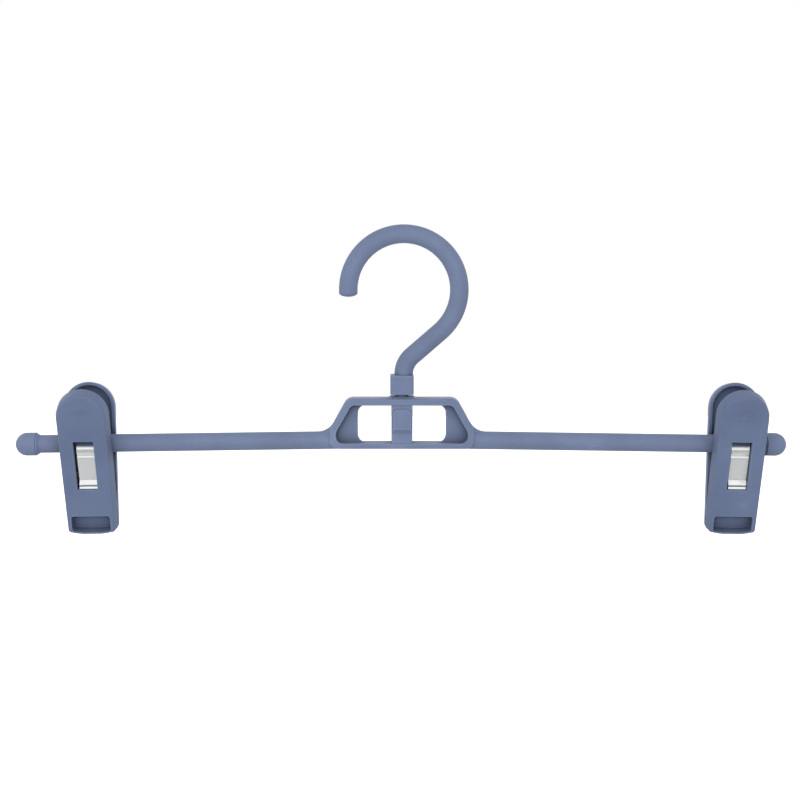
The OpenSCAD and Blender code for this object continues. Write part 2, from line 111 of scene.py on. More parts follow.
# Lamps: a wide one before the hanger, one behind it, and a weaker one at each side
lamps_aim = Vector((0, 0, -70)) * MM
for name, place, size, power in (
    ("lamp_front", (-150, -1100, 150), 800, 5),
    ("lamp_back", (150, 1100, 150), 800, 4),
    ("lamp_left", (-800, -350, 100), 500, 1.0),
    ("lamp_right", (800, -350, 100), 500, 0.9),
):
    lamp = bpy.data.lights.new(name, "AREA")
    lamp.shape = "DISK"
    lamp.size = size * MM
    lamp.energy = power
    lamp_object = bpy.data.objects.new(name, lamp)
    bpy.context.scene.collection.objects.link(lamp_object)
    lamp_object.visible_glossy = False
    lamp_object.location = Vector(place) * MM
    aim = lamps_aim - lamp_object.location
    lamp_object.rotation_euler = aim.to_track_quat("-Z", "Y").to_euler()

# Floor: far below, as under a wardrobe rail, so that only a faint broad shadow falls on it.
# The camera sees it white
floor_z = -900
floor_half = 6000
floor_mesh = bpy.data.meshes.new("floor")
floor_mesh.from_pydata(
    [(x * floor_half * MM, y * floor_half * MM, floor_z * MM)
     for x, y in ((-1, -1), (1, -1), (1, 1), (-1, 1))],
    [], [(0, 1, 2, 3)])
floor = bpy.data.objects.new("floor", floor_mesh)
bpy.context.scene.collection.objects.link(floor)
floor_paint = bpy.data.materials.new("floor_paint")
floor_paint.use_nodes = True
net = floor_paint.node_tree
net.nodes.clear()
lit = net.nodes.new("ShaderNodeBsdfDiffuse")
lit.inputs["Color"].default_value = (0.8, 0.8, 0.8, 1)
glow = net.nodes.new("ShaderNodeEmission")
glow.inputs["Strength"].default_value = 1
rays = net.nodes.new("ShaderNodeLightPath")
both = net.nodes.new("ShaderNodeAddShader")
pick = net.nodes.new("ShaderNodeMixShader")
out = net.nodes.new("ShaderNodeOutputMaterial")
net.links.new(lit.outputs[0], both.inputs[0])
net.links.new(glow.outputs[0], both.inputs[1])
net.links.new(rays.outputs["Is Camera Ray"], pick.inputs[0])
net.links.new(lit.outputs[0], pick.inputs[1])
net.links.new(both.outputs[0], pick.inputs[2])
net.links.new(pick.outputs[0], out.inputs["Surface"])
floor_mesh.materials.append(floor_paint)
floor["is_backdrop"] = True


# Hook. On the real hanger it is one injection moulding of stiff blue-grey plastic: a round
# rod bent into a question mark, a square collar, and a shank below it that snaps into the
# frame and turns there.
rod_r = 4.3
hook_r = 21.3
arc_r = hook_r + rod_r
hook_end = 49
tip_l = 3.3
tip_round = 1.8
neck_r = 11
hook_shift = 0.8
bar_z = -91.4
frame_top = 20
saddle_h = 0.7
collar_gap = 1
collar_w = 10.8
collar_d = 9.6
collar_h = 9
collar_chamfer = 0.4
collar_round = 0.3
collar_corner_r = 1.2
thrust_r = 3.2
thrust_gap = 0.15
shank_r = 2.2
head_r = 2.8
head_h = 4.2
head_taper = 0.4
head_roof = 1.6
slit_w = 0.9
slit_over = 1.5
slit_reach = 9
slit_corner_r = 0.2
overlap = 1
panel_up = 5.2
panel_low_z = bar_z + panel_up
panel_h = 9.8
head_top_z = panel_low_z + panel_h - head_roof
head_low_z = head_top_z - head_h
frame_top_z = bar_z + frame_top
saddle_top_z = frame_top_z + saddle_h
collar_low_z = saddle_top_z + collar_gap
collar_top_z = collar_low_z + collar_h


def rad(degrees):
    """Degrees, one or an array, as radians."""
    return np.radians(degrees)


def spokes(angles):
    """The unit vectors (cos a, sin a), one row for each angle a."""
    return np.column_stack([np.cos(angles), np.sin(angles)])


def skin(name, rings):
    """A closed mesh through rings[i, j], point j of ring i: quads between the rings, and at
    each end one flat face, or nothing where the end ring has shrunk to a point."""
    rings = np.asarray(rings, float)
    rows, around = rings.shape[:2]
    ring, point = np.meshgrid(np.arange(rows - 1), np.arange(around), indexing="ij")
    after = (point + 1) % around
    quads = np.stack([ring * around + point, ring * around + after,
                      (ring + 1) * around + after, (ring + 1) * around + point], axis=-1)
    faces = quads.reshape(-1, 4).tolist()
    for last in (0, rows - 1):
        if np.ptp(rings[last], axis=0).max() > 0.01:
            faces.append(list(range(last * around, (last + 1) * around)))
    mesh = bpy.data.meshes.new(name)
    mesh.from_pydata((rings.reshape(-1, 3) * MM).tolist(), [], faces)
    work = bmesh.new()
    work.from_mesh(mesh)
    bmesh.ops.remove_doubles(work, verts=work.verts, dist=0.0005 * MM)
    bmesh.ops.recalc_face_normals(work, faces=work.faces)
    work.to_mesh(mesh)
    work.free()
    piece = bpy.data.objects.new(name, mesh)
    bpy.context.scene.collection.objects.link(piece)
    return piece


def joined(piece, other, how):
    """piece with other added ("UNION") or cut away ("DIFFERENCE"); other is used up."""
    change = piece.modifiers.new("change", "BOOLEAN")
    change.operation = how
    change.solver = "EXACT"
    change.object = other
    graph = bpy.context.evaluated_depsgraph_get()
    mesh = bpy.data.meshes.new_from_object(piece.evaluated_get(graph))
    piece.modifiers.clear()
    mesh.name = piece.name
    piece.data = mesh
    bpy.data.objects.remove(other)
    return piece


def finished(piece, body, slot, paint, *nodes, sharp=32):
    """Smooth shading with the edges over sharp degrees kept crisp, its paint, the body that
    it moves with, and the nodes that it stands for."""
    work = bmesh.new()
    work.from_mesh(piece.data)
    bmesh.ops.remove_doubles(work, verts=work.verts, dist=0.002 * MM)
    for face in work.faces:
        face.smooth = True
    for edge in work.edges:
        edge.smooth = edge.calc_face_angle(math.pi) < math.radians(sharp)
    work.to_mesh(piece.data)
    work.free()
    even = piece.modifiers.new("even_shading", "WEIGHTED_NORMAL")
    even.keep_sharp = True
    piece.data.materials.clear()
    piece.data.materials.append(paint)
    if body:
        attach(piece, body)
    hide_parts(*nodes)
    return piece


def swept(centres, normals, radii, around=48):
    """Rings of a round rod lying in the XZ plane: each is its radius times cos t along the
    normal and sin t along Y, about its centre."""
    t = np.linspace(0, 2 * np.pi, around, endpoint=False)
    normals = np.column_stack([normals[:, 0], 0 * radii, normals[:, 1]])
    centres = np.column_stack([centres[:, 0], 0 * radii, centres[:, 1]])
    across = np.cos(t)[None, :, None] * normals[:, None, :]
    deep = np.sin(t)[None, :, None] * np.array([0, 1, 0])
    return centres[:, None, :] + radii[:, None, None] * (across + deep)


def corner(a, b, c, r, steps):
    """The arc of radius r that rounds the corner b between a and c, tangent to both sides."""
    u, w = a - b, c - b
    u, w = u / np.linalg.norm(u), w / np.linalg.norm(w)
    half = np.arccos(np.clip(u @ w, -1, 1)) / 2
    middle = b + (u + w) / np.linalg.norm(u + w) * r / np.sin(half)
    start = np.arctan2(*(b + u * r / np.tan(half) - middle)[::-1])
    stop = np.arctan2(*(b + w * r / np.tan(half) - middle)[::-1])
    turn = (stop - start + np.pi) % (2 * np.pi) - np.pi
    angle = start + turn * np.linspace(0, 1, steps + 1)
    return middle + r * spokes(angle)


def rounded(corners):
    """A closed outline, as points, of (x, z, radius, steps) corners, each an arc."""
    points = np.array([c[:2] for c in corners], float)
    return np.concatenate([
        corner(points[i - 1], points[i], points[(i + 1) % len(points)], *corners[i][2:])
        for i in range(len(points))])


def upright(outline, y):
    """An outline in X and Z stood up at depth y, a number or one for each point."""
    return np.column_stack([outline[:, 0], np.broadcast_to(y, len(outline)), outline[:, 1]])


def lying(outline, z):
    """An outline in X and Y laid at height z."""
    return np.column_stack([outline, np.full(len(outline), z)])


def moulded(name, colour, edge_light, grain=0.5):
    """Matt moulded plastic: a fine pitted texture from the mould, a slow unevenness of the
    colour, painted shade that darkens it in its nooks, a painted highlight that pales it along
    its edges, and with a little sheen."""
    paint = bpy.data.materials.new(name)
    paint.use_nodes = True
    net = paint.node_tree
    shader = net.nodes["Principled BSDF"]
    shader.inputs["Roughness"].default_value = 0.55
    shader.inputs["IOR"].default_value = 1.49
    shader.inputs["Specular IOR Level"].default_value = 0.35
    shader.inputs["Sheen Weight"].default_value = edge_light
    shader.inputs["Sheen Roughness"].default_value = 0.35
    place = net.nodes.new("ShaderNodeTexCoord")
    drift = net.nodes.new("ShaderNodeTexNoise")
    drift.inputs["Scale"].default_value = 45
    drift.inputs["Detail"].default_value = 3
    fleck = net.nodes.new("ShaderNodeTexNoise")
    fleck.inputs["Scale"].default_value = 1900
    fleck.inputs["Detail"].default_value = 4
    mixed = net.nodes.new("ShaderNodeMath")
    mixed.operation = "MULTIPLY_ADD"
    mixed.inputs[1].default_value = 0.45
    ramp = net.nodes.new("ShaderNodeValToRGB")
    low, high = ramp.color_ramp.elements
    low.position, high.position = 0.45, 1.0
    low.color = (*[c * 0.88 for c in colour], 1)
    high.color = (*[c * 1.6 for c in colour], 1)
    ramp.color_ramp.elements.new(0.92).color = (*[c * 1.09 for c in colour], 1)
    pits = net.nodes.new("ShaderNodeTexNoise")
    pits.inputs["Scale"].default_value = 2600
    pits.inputs["Detail"].default_value = 2
    bump = net.nodes.new("ShaderNodeBump")
    bump.inputs["Strength"].default_value = grain
    bump.inputs["Distance"].default_value = 0.03 * MM
    for noise in (drift, fleck, pits):
        net.links.new(place.outputs["Object"], noise.inputs["Vector"])
    net.links.new(fleck.outputs["Fac"], mixed.inputs[0])
    net.links.new(drift.outputs["Fac"], mixed.inputs[2])
    net.links.new(mixed.outputs[0], ramp.inputs["Fac"])
    # Painted shade: the colour is darkened where occlusion finds a nook, down to 0.3 of it
    nook = net.nodes.new("ShaderNodeAmbientOcclusion")
    nook.samples = 8
    nook.inputs["Distance"].default_value = 9 * MM
    nook_painted_shade = net.nodes.new("ShaderNodeMapRange")
    nook_painted_shade.inputs["From Min"].default_value = 0.35
    nook_painted_shade.inputs["From Max"].default_value = 0.95
    nook_painted_shade.inputs["To Min"].default_value = 0.3
    # Painted highlight: the colour is paled up to 1.5 times along convex edges
    edge = net.nodes.new("ShaderNodeAmbientOcclusion")
    edge.samples = 8
    edge.inside = True
    edge.only_local = True
    edge.inputs["Distance"].default_value = 0.8 * MM
    edge_painted_highlight = net.nodes.new("ShaderNodeMapRange")
    edge_painted_highlight.inputs["From Min"].default_value = 0.55
    edge_painted_highlight.inputs["From Max"].default_value = 0.9
    edge_painted_highlight.inputs["To Min"].default_value = 1.5
    edge_painted_highlight.inputs["To Max"].default_value = 1
    # The painted shade and the painted highlight together scale the colour's value
    painted_shade_and_highlight = net.nodes.new("ShaderNodeMath")
    painted_shade_and_highlight.operation = "MULTIPLY"
    shade = net.nodes.new("ShaderNodeHueSaturation")
    net.links.new(nook.outputs["AO"], nook_painted_shade.inputs["Value"])
    net.links.new(edge.outputs["AO"], edge_painted_highlight.inputs["Value"])
    net.links.new(nook_painted_shade.outputs["Result"], painted_shade_and_highlight.inputs[0])
    net.links.new(edge_painted_highlight.outputs["Result"], painted_shade_and_highlight.inputs[1])
    net.links.new(painted_shade_and_highlight.outputs[0], shade.inputs["Value"])
    net.links.new(ramp.outputs["Color"], shade.inputs["Color"])
    net.links.new(shade.outputs["Color"], shader.inputs["Base Color"])
    net.links.new(pits.outputs["Fac"], bump.inputs["Height"])
    net.links.new(bump.outputs["Normal"], shader.inputs["Normal"])
    return paint


frame_plastic = moulded("frame_plastic", (0.177, 0.222, 0.351), 0.15)

# The rod's middle line: tip, arc, slanted neck, bend, and down into the collar. The tip is
# a half ellipse: radius rod_r sin t at the height tip_round (1 - cos t)
tip_t = rad(np.linspace(0, 90, 8))
tip_line = np.column_stack([np.full_like(tip_t, -arc_r),
                            -hook_r - tip_l + tip_round * (1 - np.cos(tip_t))])
arc_turn = rad(np.linspace(180, -hook_end, 110))
arc_line = spokes(arc_turn) * arc_r + [0, -hook_r]
neck_from = arc_line[-1]
neck_fall = rad(90 - hook_end)
neck_way = np.array([-np.cos(neck_fall), -np.sin(neck_fall)])
neck_l = (neck_from[0] - neck_r * (1 - np.cos(rad(hook_end)))) / np.cos(neck_fall)
neck_to = neck_from + neck_l * neck_way
neck_line = neck_from + np.linspace(0, 1, 12)[1:-1, None] * (neck_to - neck_from)
bend_z = neck_to[1] - neck_r * np.sin(rad(hook_end))
bend_turn = rad(np.linspace(180 - hook_end, 180, 24))
bend_line = spokes(bend_turn) * neck_r + [neck_r, bend_z]
down_line = np.array([[0, bend_z - 0.4 * (bend_z - collar_top_z)], [0, collar_top_z - overlap]])
rod_line = np.concatenate([tip_line, arc_line, neck_line, bend_line, down_line])
rod_radii = np.concatenate([rod_r * np.sin(tip_t), np.full(len(rod_line) - len(tip_t), rod_r)])
normals = np.concatenate([
    np.tile([-1.0, 0], (len(tip_line), 1)),
    spokes(arc_turn),
    np.tile([np.cos(rad(hook_end)), -np.sin(rad(hook_end))], (len(neck_line), 1)),
    -spokes(bend_turn),
    np.tile([1.0, 0], (len(down_line), 1))])
hook = skin("hook_moulding", swept(rod_line + [hook_shift, 0], normals, rod_radii))


def slab(half_w, front, back, r, steps=5):
    """A rounded rectangle in X and Y."""
    return rounded([(-half_w, front, r, steps), (half_w, front, r, steps),
                    (half_w, back, r, steps), (-half_w, back, r, steps)])


def quarter(r, steps=5):
    """A quarter round of radius r from a face to a side, t from 0 to 90 degrees: how far each
    of its lines is drawn in, r(1 - sin t), and how deep it lies, r(1 - cos t)."""
    t = np.linspace(0, np.pi / 2, steps + 1)
    return list(zip(r * (1 - np.sin(t)), r * (1 - np.cos(t))))


levels = [(collar_chamfer, collar_low_z), (0, collar_low_z + collar_chamfer)]
levels += [(i, collar_top_z - s) for i, s in reversed(quarter(collar_round))]
collar = skin("collar", [
    lying(slab(collar_w / 2 - i, i - collar_d / 2, collar_d / 2 - i, collar_corner_r - i), z)
    for i, z in levels])
hook = joined(hook, collar, "UNION")
ring = spokes(np.linspace(0, 2 * np.pi, 48, endpoint=False))
thrust_z = saddle_top_z + thrust_gap
shank_line = [(thrust_r, collar_low_z + overlap), (thrust_r, thrust_z), (shank_r, thrust_z),
              (shank_r, head_top_z), (head_r, head_top_z),
              (head_r, head_top_z - head_h / 3), (shank_r - head_taper, head_low_z)]
hook = joined(hook, skin("shank", [lying(ring * r, z) for r, z in shank_line]), "UNION")
slit = [lying(slab(slit_w / 2, -slit_reach, slit_reach, slit_corner_r), z)
        for z in (head_low_z - overlap, head_top_z + slit_over)]
hook = joined(hook, skin("slit", slit), "DIFFERENCE")
finished(hook, "hook", "frame_plastic", frame_plastic, "hook")


# Frame. The raised-rim trapezium, the post in its middle and both bars are one moulding of
# the same plastic. The hook's shank turns in the post, whose back is open round the snap
# head, and each bar ends in a grooved spigot for its cap.
root_x = 33.9
frame_low = 3.6
frame_d = 9.2
side_angle = rad(60.5)
side_start = 4.9
side_r = 5
top_corner_r = 4.8
low_corner_r = 4.2
rim_w = 3.2
rim_low_w = 2.6
rim_round = 0.8
recess_top_r = top_corner_r - 1.8
recess_low_r = low_corner_r - 1
recess_round = 0.3
web_half = 1
window_w = 15.6
window_r = 4
window_post_r = 0.3
window_lip = 0.25
window_over = 0.02
window_cut = 5
post_w = 9.8
post_back_set = 0.02
post_r = 0.35
post_set = 0.4
post_low_set = 0.3
notch_h = 1.5
notch_d = 1.2
panel_w = 8.6
panel_d = 0.8
panel_round = 0.2
panel_low_r = 0.5
panel_top_r = 2.6
saddle_foot = 6.97
saddle_sink = 0.4
saddle_r = 0.6
saddle_round = 0.4
bore_gap = 0.05
head_gap = 0.3
head_room_back = 9
bar_r = 4.2
bar_slope = rad(0.8)
bar_from = -2.9
fillet_r = 8.4
fillet_from = -2.08
fillet_to = 5.29
cap_r = 5.4
cap_l = 9.8
spigot_r = 3.1
spigot_l = 5.4
spigot_taper = 0.4
groove_d = 0.4
shoulder_l = 1.5
shoulder_r = cap_r - 0.35
half_l = 180
bar_l = (half_l - root_x) / np.cos(bar_slope)
cap_at = bar_l - cap_l
shoulder_at = cap_at - shoulder_l
recess_low_z = bar_z - frame_low + rim_low_w
recess_top_z = frame_top_z - rim_w
front, back = -frame_d / 2, frame_d / 2


def frame_outline(inset, low, low_r, top_r):
    """The frame's trapezium, upright below and sloped above side_start: drawn in by inset at
    its top and sides and by low at its foot, with those corner radii."""
    x, top = root_x - inset, frame_top_z - inset
    z = bar_z + side_start + inset * (np.sin(side_angle) - 1) / np.cos(side_angle)
    run = (top - z) / np.tan(side_angle)
    foot = bar_z - frame_low + low
    return rounded([(x, foot, low_r, 10), (x, z, side_r, 6), (x - run, top, top_r, 10),
                    (run - x, top, top_r, 10), (-x, z, side_r, 6), (-x, foot, low_r, 10)])


def sunk(name, outline, mouth, floor, lip, fillet):
    """What is cut to sink an outline from y = mouth to y = floor. outline(i, q) is the
    outline drawn in by i at the share q of the depth: its lip flares by lip(1 - sin t), and
    the corner at its floor is drawn in by fillet(1 - cos t)."""
    way = np.sign(floor - mouth)
    levels = [(-lip, mouth - way)] + [(-i, mouth + way * s) for i, s in quarter(lip)]
    levels += [(s, floor - way * i) for i, s in quarter(fillet)]
    return skin(name, [upright(outline(i, np.clip((y - mouth) / (floor - mouth), 0, 1)), y)
                       for i, y in levels])


hanger = skin("hanger_moulding", [
    upright(frame_outline(i, i, low_corner_r - i, top_corner_r - i), y)
    for i, y in [(i, front + s) for i, s in quarter(rim_round)]
    + [(i, back - s) for i, s in reversed(quarter(rim_round))]])

# A bar: rings along it from inside the frame's rim to the spigot's end. Its upper half is
# raised at the frame by the hollow curve R - sqrt(R^2 - u^2)
plain = np.concatenate([[bar_from], np.linspace(fillet_from, fillet_to, 16),
                        np.linspace(7, 133, 40), [shoulder_at]])
spigot_line = [(-0.15, shoulder_r), (0, shoulder_r - 0.1), (0, spigot_r), (2.2, spigot_r),
               (2.7, spigot_r - groove_d), (3.2, spigot_r), (spigot_l - spigot_taper, spigot_r),
               (spigot_l, spigot_r - spigot_taper)]
along = np.concatenate([plain, [cap_at + x for x, r in spigot_line]])
thick = np.concatenate([np.full(len(plain), bar_r), [r for x, r in spigot_line]])
u = np.clip(fillet_to - along, 0, fillet_to - fillet_from)
raised = fillet_r - np.sqrt(fillet_r ** 2 - u ** 2)
t = np.linspace(0, 2 * np.pi, 64, endpoint=False)
deep = thick[:, None] * np.cos(t)
high = (thick[:, None] + raised[:, None] * (np.sin(t) > 0)) * np.sin(t)
far = np.broadcast_to(along[:, None], deep.shape)
bar = np.stack([root_x + far * np.cos(bar_slope) + high * np.sin(bar_slope), deep,
                bar_z - far * np.sin(bar_slope) + high * np.cos(bar_slope)], axis=-1)
for hand in (1, -1):
    hanger = joined(hanger, skin("bar", bar * [hand, 1, 1]), "UNION")


def recess_outline(i, q):
    """The recess inside the rim, drawn in by i. Its sides are upright, the same at each q."""
    return frame_outline(rim_w + i, rim_low_w + i, recess_low_r - i, recess_top_r - i)


for face in (front, back):
    recess = sunk("recess", recess_outline, face, np.sign(face) * web_half, recess_round,
                  recess_round)
    hanger = joined(hanger, recess, "DIFFERENCE")

# The windows: rounded on the outer side, flared at both faces of the web, and as high as
# the recess
levels = [(-window_lip, -window_cut)] + [(-i, s - web_half) for i, s in quarter(window_lip)]
levels += [(i, -y) for i, y in reversed(levels)]
for hand in (1, -1):
    rings = []
    for i, y in levels:
        inner, outer = post_w / 2 - overlap + i, post_w / 2 + window_w - i
        low, top = recess_low_z + i, recess_top_z - i
        shape = rounded([(inner, low, window_post_r - i, 4), (outer, low, window_r - i, 10),
                         (outer, top, window_r - i, 10), (inner, top, window_post_r - i, 4)])
        shape[:, 1] = np.clip(shape[:, 1], recess_low_z - window_over, recess_top_z + window_over)
        rings.append(upright(shape * [hand, 1], y))
    hanger = joined(hanger, skin("window", rings), "DIFFERENCE")

# The post: its front steps back into a notch under the panel, the low saddle on top carries
# the hook, and the bore and the room for the snap head are cut last
post_line = [(recess_low_z - overlap, front + post_low_set), (recess_low_z, front + post_low_set),
             (panel_low_z - notch_h, front + notch_d), (panel_low_z, front + post_set),
             (recess_top_z + overlap, front + post_set)]
post = skin("post", [lying(slab(post_w / 2, y, back - post_back_set, post_r), z)
                     for z, y in post_line])
hanger = joined(hanger, post, "UNION")
levels = [(i, front + s) for i, s in quarter(panel_round)] + [(0, front + panel_d)]
panel_top_z = panel_low_z + panel_h
panel = skin("panel", [
    upright(rounded([(i - panel_w / 2, panel_low_z + i, panel_low_r - i, 4),
                     (panel_w / 2 - i, panel_low_z + i, panel_low_r - i, 4),
                     (panel_w / 2 - i, panel_top_z - i, panel_top_r - i, 8),
                     (i - panel_w / 2, panel_top_z - i, panel_top_r - i, 8)]), y)
    for i, y in levels])
hanger = joined(hanger, panel, "UNION")
levels = [(i, s + rim_round - frame_d / 2) for i, s in quarter(saddle_round)]
levels += [(i, -y) for i, y in reversed(levels)]
saddle_low_z = frame_top_z - saddle_sink
saddle = skin("saddle", [
    upright(rounded([(i - saddle_foot, saddle_low_z, 0.05, 2),
                     (saddle_foot - i, saddle_low_z, 0.05, 2),
                     (collar_w / 2 - i, saddle_top_z - i, saddle_r, 6),
                     (i - collar_w / 2, saddle_top_z - i, saddle_r, 6)]), y)
    for i, y in levels])
hanger = joined(hanger, saddle, "UNION")
ring = spokes(t)
bore = skin("bore", [lying(ring * (shank_r + bore_gap), z)
                     for z in (head_top_z - overlap, saddle_top_z + overlap)])
hanger = joined(hanger, bore, "DIFFERENCE")
room_r = head_r + head_gap
head_room = np.concatenate([ring[len(ring) // 2:] * room_r,
                            [[room_r, 0.01], [room_r, head_room_back], [-room_r, head_room_back]]])
pocket = skin("head_room", [lying(head_room, z)
                            for z in (head_low_z - head_gap, head_top_z + bore_gap)])
hanger = joined(hanger, pocket, "DIFFERENCE")
finished(hanger, "frame", "frame_plastic", frame_plastic, "hanger_frame")


# End caps. Two domed caps of the same plastic: each is pushed over its bar's spigot, where
# a bead inside it snaps into the groove, and butts against the bar's tapered shoulder.
cap_play = 0.05
cap_end_play = 0.1
cap_round = 0.3
dome = rad(np.linspace(0, 90, 16))
mouth = rad(np.linspace(15, 90, 5))
cap_line = ([(0, spigot_l + cap_end_play), (spigot_r + cap_play, spigot_l + cap_end_play),
             (spigot_r + cap_play, 0), (cap_r - cap_round, 0)]
            + [(cap_r - cap_round + cap_round * np.sin(a), cap_round - cap_round * np.cos(a))
               for a in mouth]
            + list(zip(cap_r * np.cos(dome), cap_l - cap_r + cap_r * np.sin(dome))))
for hand, node in ((-1, "left_end_cap"), (1, "right_end_cap")):
    rings = [np.column_stack([np.full(len(ring), cap_at + x), ring * r]) for r, x in cap_line]
    rings = np.array(rings) @ Matrix.Rotation(-bar_slope, 3, "Y") * [hand, 1, 1]
    rings += [hand * root_x, 0, bar_z]
    finished(skin(node + "_moulding", rings), "frame", "frame_plastic", frame_plastic, node)


# Jaws. Each of the four is the same moulding of a darker plastic: a tray with a rounded
# thumb end, a window for the spring, saddles that rock on the bar, a bridge across the tray
# that the spring's arm presses on, and teeth behind a pocket at its lower end.
clip_lean = rad(6)
clip_from_shoulder = {"left": 10.5, "right": 0.3}
jaw_w = 23.8
tip_w = 23.4
jaw_draft = 0.7
jaw_up = 28.4
jaw_down = 42.8
jaw_angle = rad(7.5)
jaw_off = 10.6
jaw_depth = 6.6
wall = 1.45
jaw_round = 0.8
jaw_rim_round = 0.25
thumb_round = 2.2
thumb_round_d = 1.6
tip_bow = 1.2
tip_corner_r = 2.2
dish_z = 17
dish_d = 0.7
dish_half_w = 6.8
dish_up = 4.6
dish_down = 9.5
jaw_window_w = 9.4
jaw_window_top = 4.9
jaw_window_low = 19.1
jaw_window_r = 0.4
jaw_window_lip = 0.25
tray_lip = 0.2
tray_fillet = 0.5
pocket_w = 18
pocket_h = 8.4
pocket_draft = 1.2
pocket_bow = 0.6
pocket_lip = 0.25
pocket_fillet = 0.3
pocket_sill = 1.6
heel_h = 4
pocket_z = pocket_sill - jaw_down
heel_z = pocket_z + pocket_h + heel_h
tip_gap = 0.15
tip_floor = 1.3
teeth = 6
tooth_pitch = 1.5
tooth_half = 0.55
tooth_d = 0.7
seat_gap = 0.1
strip_half = 0.25
strip_gap = 0.15
strip_r = bar_r + strip_gap + strip_half
arm_y = -0.74 * strip_r
arm_l = 16.8
bridge_gap = 0.1
bridge_half_w = 10.9
bridge_half_h = 2.25
bridge_round = 0.2
cut_side = 20
cut_far = 60


def jaw_outline(inset, down):
    """A jaw seen from the front, drawn in by inset and with its thumb end lowered by down:
    a bowed foot, sides that bend at the bar, and a half round thumb end."""
    w, tip, r = jaw_w / 2 - inset, tip_w / 2 - inset, max(tip_corner_r - inset, 0.05)
    low, top = inset - jaw_down, jaw_up - inset - down
    return rounded([(-tip, low + tip_bow, r, 8), (-tip / 2, low, tip_w, 5), (tip / 2, low, tip_w, 5),
                    (tip, low + tip_bow, r, 8), (w, 0, tip_w, 5), (w, top, w - 0.02, 28),
                    (-w, top, w - 0.02, 28), (-w, 0, tip_w, 5)])


# The outer face is rings that close on the thumb rest, whose depth is d(1 - k^2)^2 at the
# share k of the way out to its edge; then come the rounded edges and the rim
face_drop = thumb_round - jaw_round
face_line = jaw_outline(jaw_round + jaw_draft, face_drop)
dish_at = np.array([0, dish_z])
ways = face_line - dish_at
ways /= np.linalg.norm(ways, axis=1)[:, None]
reach = np.where(ways[:, 1] > 0, dish_up, dish_down)
reach = 1 / np.sqrt((ways[:, 0] / dish_half_w) ** 2 + (ways[:, 1] / reach) ** 2)
rings = [upright(dish_at + ways * reach[:, None] * k, dish_d * (1 - k * k) ** 2 - jaw_off)
         for k in np.linspace(0, 1, 17)]
edge_deep = jaw_round * (1 - np.cos(rad(np.linspace(0, 90, 7))))
for s in np.concatenate([edge_deep, [1.1, 1.4, thumb_round_d]]):
    inset = jaw_round - np.sqrt(jaw_round ** 2 - max(jaw_round - s, 0) ** 2)
    down = thumb_round * (1 - np.sqrt(1 - (1 - s / thumb_round_d) ** 2))
    draft = jaw_draft * (1 - max(s - jaw_round, 0) / (jaw_depth - jaw_round))
    rings.append(upright(jaw_outline(inset + draft, max(down - inset, 0)), s - jaw_off))
rings += [upright(jaw_outline(i, 0), jaw_depth - s - jaw_off)
          for i, s in reversed(quarter(jaw_rim_round, 3))]
jaw = skin("jaw", rings)


def tray_outline(i, q):
    """The hollow inside the wall, drafted towards its floor and ending above the heel."""
    line = jaw_outline(wall + i + jaw_draft * q, 0)
    line[:, 1] = np.maximum(line[:, 1], heel_z + i)
    return line


def window_outline(i, q):
    """The spring's window, a rounded rectangle with upright sides, the same at each q."""
    w, low, top, r = jaw_window_w / 2 - i, i - jaw_window_low, jaw_window_top - i, jaw_window_r - i
    return rounded([(-w, low, r, 4), (w, low, r, 4), (w, top, r, 4), (-w, top, r, 4)])


def pocket_outline(i, q):
    """The pocket's lower side is bowed like the jaw's foot and slants up towards the floor."""
    w, low, top = pocket_w / 2 - i, pocket_z + i + pocket_draft * q, pocket_z + pocket_h - i
    r = tip_bow - i
    return rounded([(-w, low + pocket_bow, r, 5), (-w / 2, low, pocket_w, 4),
                    (w / 2, low, pocket_w, 4), (w, low + pocket_bow, r, 5),
                    (w, top, r, 5), (-w, top, r, 5)])


rim_y = jaw_depth - jaw_off
floor_y = wall - jaw_off
tray = sunk("tray", tray_outline, rim_y, floor_y, tray_lip, tray_fillet)
jaw = joined(jaw, tray, "DIFFERENCE")
bridge_y = arm_y * np.cos(jaw_angle) - arm_l * np.sin(jaw_angle) + strip_half + bridge_gap
levels = [(i, bridge_y + s) for i, s in quarter(bridge_round, 3)]
levels += [(i, bridge_y + wall - s) for i, s in reversed(quarter(bridge_round, 3))]
bridge = skin("bridge", [
    upright(rounded([(-bridge_half_w, i - arm_l - bridge_half_h, 0.1, 2),
                     (bridge_half_w, i - arm_l - bridge_half_h, 0.1, 2),
                     (bridge_half_w, bridge_half_h - arm_l - i, 0.1, 2),
                     (-bridge_half_w, bridge_half_h - arm_l - i, 0.1, 2)]), y)
    for i, y in levels])
jaw = joined(jaw, bridge, "UNION")
window = sunk("window", window_outline, -jaw_off, floor_y + 0.05, jaw_window_lip, 0)
jaw = joined(jaw, window, "DIFFERENCE")
pocket_y = -tip_gap - tooth_d - tip_floor + (pocket_z + pocket_h / 2) * np.sin(jaw_angle)
pocket = sunk("pocket", pocket_outline, -jaw_off, pocket_y, pocket_lip, pocket_fillet)
jaw = joined(jaw, pocket, "DIFFERENCE")

